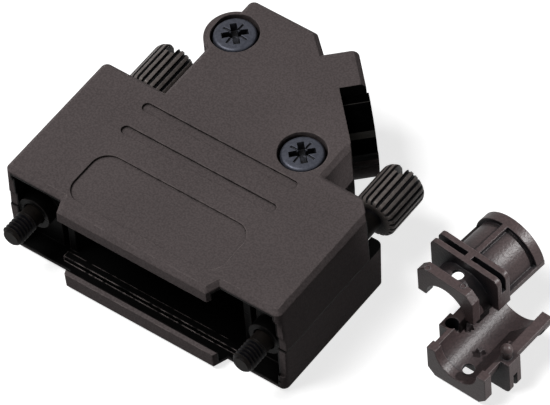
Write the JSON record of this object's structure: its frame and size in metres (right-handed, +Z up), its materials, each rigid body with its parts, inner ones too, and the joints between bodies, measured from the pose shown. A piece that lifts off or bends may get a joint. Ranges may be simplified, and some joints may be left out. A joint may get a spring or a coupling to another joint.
{
  "type": "d-sub hood",
  "caption": "Two-part cast hood for a D-sub connector with an angled cable exit, two captive thumbscrews and a pair of loose cable clamp halves.",
  "frame": {"origin": "on the flat base under the hood's centre line, 10 mm behind the connector face", "axes": "+X along the connector, +Y from the connector face towards the cable exit, +Z up from the base through both shells"},
  "size_m": [0.0613, 0.0415, 0.0148],
  "materials": {
    "cast_black": "satin",
    "screw_black": "satin",
    "thumbscrew_black": "satin",
    "clip_steel": "satin",
    "clamp_plastic": "satin"
  },
  "bodies": {
    "hood": {"upper_shell": "cast_black", "lower_shell": "cast_black", "cover_screw_rear": "screw_black", "cover_screw_side": "screw_black", "clamp_half_lower": "clamp_plastic", "clamp_half_upper": "clamp_plastic"},
    "clip_left": {"screw_clip_left": "clip_steel"},
    "clip_right": {"screw_clip_right": "clip_steel"},
    "thumbscrew_left": {"thumbscrew_left": "thumbscrew_black"},
    "thumbscrew_right": {"thumbscrew_right": "thumbscrew_black"}
  },
  "joints": [
    {"name": "screw_left_pull", "type": "slide", "parent": "hood", "child": "clip_left", "axis": [0, 1, 0], "range_m": [-0.0018, 0.0017]},
    {"name": "screw_left_turn", "type": "hinge", "parent": "clip_left", "child": "thumbscrew_left", "pos_m": [-0.01666, 0.005, 0.0074], "axis": [0, 1, 0], "continuous": true},
    {"name": "screw_right_pull", "type": "slide", "parent": "hood", "child": "clip_right", "axis": [0, 1, 0], "range_m": [-0.0018, 0.0017]},
    {"name": "screw_right_turn", "type": "hinge", "parent": "clip_right", "child": "thumbscrew_right", "pos_m": [0.01666, 0.005, 0.0074], "axis": [0, 1, 0], "continuous": true}
  ]
}
